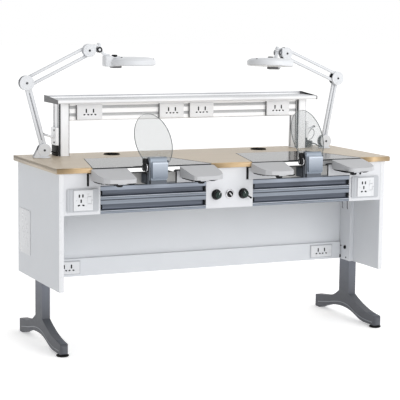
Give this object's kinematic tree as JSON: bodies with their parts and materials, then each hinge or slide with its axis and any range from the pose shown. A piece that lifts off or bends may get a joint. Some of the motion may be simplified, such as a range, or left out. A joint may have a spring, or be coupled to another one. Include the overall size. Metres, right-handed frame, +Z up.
{
  "type": "dental laboratory workbench",
  "caption": "Wide laboratory workbench with steel-topped stations, dust drawers and suction heads with glass shields, hand rests, a rear shelf on posts and balanced-arm lamps.",
  "frame": {"origin": "middle of the bench's footprint box, on the floor", "axes": "+X to the user's right along the bench, +Y from the user to the back, +Z up"},
  "size_m": [1.6194, 0.752, 1.3006],
  "materials": {
    "beech_top": "oiled beech laminate with a lacquered honey nosing",
    "brushed_steel": "satin sheet steel",
    "white_laminate": "white melamine laminate on chipboard",
    "white_shell": "white powder-coated shell",
    "drawer_grey": "warm grey moulded drawer",
    "slate_paint": "slate blue-grey powder coat",
    "slate_aluminium": "slate anodised aluminium",
    "blue_grey_shell": "satin blue-grey shell",
    "rest_grey": "light grey pad",
    "black_rubber": "black rubber",
    "black_plastic": "satin black plastic",
    "green_knob": "dark green glossy plastic",
    "chrome_key": "polished",
    "clear_glass": "clear safety glass",
    "shelf_aluminium": "light grey powder-coated aluminium",
    "white_aluminium": "white powder-coated aluminium",
    "lamp_white": "satin white housing"
  },
  "bodies": {
    "bench": {"worktop": "beech_top", "back_panel": "white_laminate", "control_box": "white_shell", "shelf": "shelf_aluminium", "power_rail": "shelf_aluminium", "steel_inlay_left": "brushed_steel", "side_panel_left": "white_laminate", "leg_left": "slate_paint", "socket_box_left": "white_shell", "front_rail_left": "slate_aluminium", "rest_carrier_left": "white_shell", "post_left": "white_aluminium", "steel_inlay_right": "brushed_steel", "side_panel_right": "white_laminate", "leg_right": "slate_paint", "socket_box_right": "white_shell", "front_rail_right": "slate_aluminium", "rest_carrier_right": "white_shell", "post_right": "white_aluminium"},
    "gas_valve_knob": {"gas_valve_knob": "green_knob"},
    "air_valve_knob": {"air_valve_knob": "green_knob"},
    "power_key_switch": {"power_key_switch": "chrome_key"},
    "levelling_foot_left": {"levelling_foot_left": "black_rubber"},
    "socket_rocker_left": {"socket_rocker_left": "white_shell"},
    "post_clamp_left": {"post_clamp_left": "slate_aluminium"},
    "dust_drawer_left": {"dust_drawer_left": "drawer_grey", "suction_head_left": "blue_grey_shell"},
    "suction_flap_left": {"suction_flap_left": "blue_grey_shell"},
    "shield_left": {"shield_glass_left": "clear_glass", "shield_clamp_left": "black_plastic"},
    "hand_rest_left_left_hand": {"hand_rest_left_left_hand": "rest_grey"},
    "rest_knob_left_left_hand": {"rest_knob_left_left_hand": "black_plastic"},
    "hand_rest_left_right_hand": {"hand_rest_left_right_hand": "rest_grey"},
    "rest_knob_left_right_hand": {"rest_knob_left_right_hand": "black_plastic"},
    "lamp_base_left": {"lamp_base_left": "white_aluminium"},
    "lamp_lower_arm_left": {"lamp_lower_arm_left": "white_aluminium"},
    "lamp_elbow_left": {"lamp_elbow_left": "white_aluminium"},
    "lamp_upper_arm_left": {"lamp_upper_arm_left": "white_aluminium"},
    "lamp_head_joint_left": {"lamp_head_joint_left": "white_aluminium"},
    "lamp_yoke_left": {"lamp_yoke_left": "white_aluminium"},
    "lamp_head_left": {"lamp_head_left": "lamp_white"},
    "levelling_foot_right": {"levelling_foot_right": "black_rubber"},
    "socket_rocker_right": {"socket_rocker_right": "white_shell"},
    "post_clamp_right": {"post_clamp_right": "slate_aluminium"},
    "dust_drawer_right": {"dust_drawer_right": "drawer_grey", "suction_head_right": "blue_grey_shell"},
    "suction_flap_right": {"suction_flap_right": "blue_grey_shell"},
    "shield_right": {"shield_glass_right": "clear_glass", "shield_clamp_right": "black_plastic"},
    "hand_rest_right_left_hand": {"hand_rest_right_left_hand": "rest_grey"},
    "rest_knob_right_left_hand": {"rest_knob_right_left_hand": "black_plastic"},
    "hand_rest_right_right_hand": {"hand_rest_right_right_hand": "rest_grey"},
    "rest_knob_right_right_hand": {"rest_knob_right_right_hand": "black_plastic"},
    "lamp_base_right": {"lamp_base_right": "white_aluminium"},
    "lamp_lower_arm_right": {"lamp_lower_arm_right": "white_aluminium"},
    "lamp_elbow_right": {"lamp_elbow_right": "white_aluminium"},
    "lamp_upper_arm_right": {"lamp_upper_arm_right": "white_aluminium"},
    "lamp_head_joint_right": {"lamp_head_joint_right": "white_aluminium"},
    "lamp_yoke_right": {"lamp_yoke_right": "white_aluminium"},
    "lamp_head_right": {"lamp_head_right": "lamp_white"}
  },
  "joints": [
    {"name": "gas_valve_turn", "type": "hinge", "parent": "bench", "child": "gas_valve_knob", "pos_m": [-0.05527, -0.21, 0.658], "axis": [0, -1, 0], "range_deg": [0, 270]},
    {"name": "air_valve_turn", "type": "hinge", "parent": "bench", "child": "air_valve_knob", "pos_m": [0.07473, -0.21, 0.658], "axis": [0, -1, 0], "range_deg": [0, 90]},
    {"name": "power_key_turn", "type": "hinge", "parent": "bench", "child": "power_key_switch", "pos_m": [0.00973, -0.21, 0.658], "axis": [0, -1, 0], "range_deg": [0, 90]},
    {"name": "levelling_foot_turn_left", "type": "hinge", "parent": "bench", "child": "levelling_foot_left", "pos_m": [-0.75467, -0.193, 0.012], "axis": [0, 0, 1], "continuous": true},
    {"name": "socket_rocker_tip_left", "type": "hinge", "parent": "bench", "child": "socket_rocker_left", "pos_m": [-0.64427, -0.2162, 0.661], "axis": [-1, 0, 0], "range_deg": [0, 12]},
    {"name": "post_clamp_lift_left", "type": "slide", "parent": "bench", "child": "post_clamp_left", "axis": [0, 0, 1], "range_m": [-0.04, 0.1]},
    {"name": "dust_drawer_pull_left", "type": "slide", "parent": "bench", "child": "dust_drawer_left", "axis": [0, -1, 0], "range_m": [0, 0.15]},
    {"name": "suction_flap_swing_left", "type": "hinge", "parent": "dust_drawer_left", "child": "suction_flap_left", "pos_m": [-0.36177, -0.2912, 0.8172], "axis": [-1, 0, 0], "range_deg": [0, 80]},
    {"name": "shield_tilt_left", "type": "hinge", "parent": "dust_drawer_left", "child": "shield_left", "pos_m": [-0.36177, -0.273, 0.796], "axis": [1, 0, 0], "range_deg": [-4, 11]},
    {"name": "hand_rest_pull_left_left_hand", "type": "slide", "parent": "bench", "child": "hand_rest_left_left_hand", "axis": [0, -1, 0], "range_m": [0, 0.06]},
    {"name": "rest_knob_turn_left_left_hand", "type": "hinge", "parent": "bench", "child": "rest_knob_left_left_hand", "pos_m": [-0.54777, -0.314, 0.745], "axis": [0, 0, 1], "range_deg": [0, 270]},
    {"name": "hand_rest_pull_left_right_hand", "type": "slide", "parent": "bench", "child": "hand_rest_left_right_hand", "axis": [0, -1, 0], "range_m": [0, 0.06]},
    {"name": "rest_knob_turn_left_right_hand", "type": "hinge", "parent": "bench", "child": "rest_knob_left_right_hand", "pos_m": [-0.17577, -0.314, 0.745], "axis": [0, 0, 1], "range_deg": [0, 270]},
    {"name": "lamp_base_turn_left", "type": "hinge", "parent": "bench", "child": "lamp_base_left", "pos_m": [-0.69827, 0.214, 0.8], "axis": [0, 0, 1], "range_deg": [-70, 70]},
    {"name": "lamp_lower_arm_swing_left", "type": "hinge", "parent": "lamp_base_left", "child": "lamp_lower_arm_left", "pos_m": [-0.69827, 0.214, 0.832], "axis": [0.0872, 0.9962, 0], "range_deg": [-25, 20]},
    {"name": "lamp_elbow_level_left", "type": "hinge", "parent": "lamp_lower_arm_left", "child": "lamp_elbow_left", "pos_m": [-0.77537, 0.22075, 1.12702], "axis": [0.0872, 0.9962, 0], "range_deg": [-20, 25]},
    {"name": "lamp_upper_arm_swing_left", "type": "hinge", "parent": "lamp_elbow_left", "child": "lamp_upper_arm_left", "pos_m": [-0.77537, 0.22075, 1.12702], "axis": [0.0872, 0.9962, 0], "range_deg": [-25, 12]},
    {"name": "lamp_head_level_left", "type": "hinge", "parent": "lamp_upper_arm_left", "child": "lamp_head_joint_left", "pos_m": [-0.49479, 0.1962, 1.26806], "axis": [0.0872, 0.9962, 0], "range_deg": [-12, 25]},
    {"name": "lamp_yoke_turn_left", "type": "hinge", "parent": "lamp_head_joint_left", "child": "lamp_yoke_left", "pos_m": [-0.44896, 0.19219, 1.27156], "axis": [0, 0, 1], "range_deg": [-80, 80]},
    {"name": "lamp_head_tilt_left", "type": "hinge", "parent": "lamp_yoke_left", "child": "lamp_head_left", "pos_m": [-0.44896, 0.19219, 1.27156], "axis": [0.0872, 0.9962, 0], "range_deg": [-30, 30]},
    {"name": "levelling_foot_turn_right", "type": "hinge", "parent": "bench", "child": "levelling_foot_right", "pos_m": [0.77413, -0.193, 0.012], "axis": [0, 0, 1], "continuous": true},
    {"name": "socket_rocker_tip_right", "type": "hinge", "parent": "bench", "child": "socket_rocker_right", "pos_m": [0.71773, -0.2162, 0.661], "axis": [-1, 0, 0], "range_deg": [0, 12]},
    {"name": "post_clamp_lift_right", "type": "slide", "parent": "bench", "child": "post_clamp_right", "axis": [0, 0, 1], "range_m": [-0.04, 0.1]},
    {"name": "dust_drawer_pull_right", "type": "slide", "parent": "bench", "child": "dust_drawer_right", "axis": [0, -1, 0], "range_m": [0, 0.15]},
    {"name": "suction_flap_swing_right", "type": "hinge", "parent": "dust_drawer_right", "child": "suction_flap_right", "pos_m": [0.38123, -0.2912, 0.8172], "axis": [-1, 0, 0], "range_deg": [0, 80]},
    {"name": "shield_tilt_right", "type": "hinge", "parent": "dust_drawer_right", "child": "shield_right", "pos_m": [0.38123, -0.273, 0.796], "axis": [1, 0, 0], "range_deg": [-4, 11]},
    {"name": "hand_rest_pull_right_left_hand", "type": "slide", "parent": "bench", "child": "hand_rest_right_left_hand", "axis": [0, -1, 0], "range_m": [0, 0.06]},
    {"name": "rest_knob_turn_right_left_hand", "type": "hinge", "parent": "bench", "child": "rest_knob_right_left_hand", "pos_m": [0.19523, -0.314, 0.745], "axis": [0, 0, 1], "range_deg": [0, 270]},
    {"name": "hand_rest_pull_right_right_hand", "type": "slide", "parent": "bench", "child": "hand_rest_right_right_hand", "axis": [0, -1, 0], "range_m": [0, 0.06]},
    {"name": "rest_knob_turn_right_right_hand", "type": "hinge", "parent": "bench", "child": "rest_knob_right_right_hand", "pos_m": [0.56723, -0.314, 0.745], "axis": [0, 0, 1], "range_deg": [0, 270]},
    {"name": "lamp_base_turn_right", "type": "hinge", "parent": "bench", "child": "lamp_base_right", "pos_m": [0.71273, 0.214, 0.8], "axis": [0, 0, 1], "range_deg": [-70, 70]},
    {"name": "lamp_lower_arm_swing_right", "type": "hinge", "parent": "lamp_base_right", "child": "lamp_lower_arm_right", "pos_m": [0.71273, 0.214, 0.832], "axis": [0.0872, -0.9962, 0], "range_deg": [-25, 20]},
    {"name": "lamp_elbow_level_right", "type": "hinge", "parent": "lamp_lower_arm_right", "child": "lamp_elbow_right", "pos_m": [0.77382, 0.21935, 1.13077], "axis": [0.0872, -0.9962, 0], "range_deg": [-20, 25]},
    {"name": "lamp_upper_arm_swing_right", "type": "hinge", "parent": "lamp_elbow_right", "child": "lamp_upper_arm_right", "pos_m": [0.77382, 0.21935, 1.13077], "axis": [0.0872, -0.9962, 0], "range_deg": [-25, 12]},
    {"name": "lamp_head_level_right", "type": "hinge", "parent": "lamp_upper_arm_right", "child": "lamp_head_joint_right", "pos_m": [0.48391, 0.19398, 1.25132], "axis": [0.0872, -0.9962, 0], "range_deg": [-12, 25]},
    {"name": "lamp_yoke_turn_right", "type": "hinge", "parent": "lamp_head_joint_right", "child": "lamp_yoke_right", "pos_m": [0.43809, 0.18997, 1.25482], "axis": [0, 0, 1], "range_deg": [-126, 34]},
    {"name": "lamp_head_tilt_right", "type": "hinge", "parent": "lamp_yoke_right", "child": "lamp_head_right", "pos_m": [0.43809, 0.18997, 1.25482], "axis": [0.7771, -0.6293, 0], "range_deg": [-25.5, 34.5]}
  ],
  "couplings": [
    {"joint": "lamp_elbow_level_left", "follows": "lamp_lower_arm_swing_left", "ratio": -1},
    {"joint": "lamp_head_level_left", "follows": "lamp_upper_arm_swing_left", "ratio": -1},
    {"joint": "lamp_elbow_level_right", "follows": "lamp_lower_arm_swing_right", "ratio": -1},
    {"joint": "lamp_head_level_right", "follows": "lamp_upper_arm_swing_right", "ratio": -1}
  ]
}
